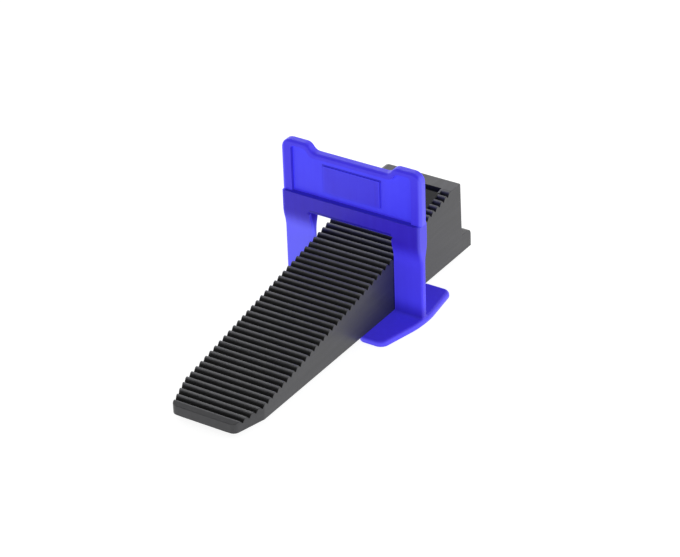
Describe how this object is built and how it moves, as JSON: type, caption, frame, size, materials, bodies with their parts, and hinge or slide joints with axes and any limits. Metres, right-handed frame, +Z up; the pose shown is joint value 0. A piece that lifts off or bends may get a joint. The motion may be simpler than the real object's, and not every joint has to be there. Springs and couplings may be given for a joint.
{
  "type": "tile levelling clip",
  "caption": "Moulded plastic tile levelling clip with base plate, thin legs, bar and crowned grip panel, and a ribbed wedge that slides through its window to press tiles level.",
  "frame": {"origin": "centre of the underside of the clip's base plate", "axes": "+X across the clip from leg to leg, +Y along the wedge from its tip to its thick end, +Z up the legs"},
  "size_m": [0.0348, 0.0889, 0.036],
  "materials": {
    "clip_plastic": "semi-gloss moulded, slightly translucent",
    "wedge_plastic": "fine matt moulded"
  },
  "bodies": {
    "clip": {"clip": "clip_plastic"},
    "wedge": {"wedge": "wedge_plastic"}
  },
  "joints": [
    {"name": "wedge_slide", "type": "slide", "parent": "clip", "child": "wedge", "axis": [0, -1, 0], "range_m": [-0.052, 0.022]}
  ]
}
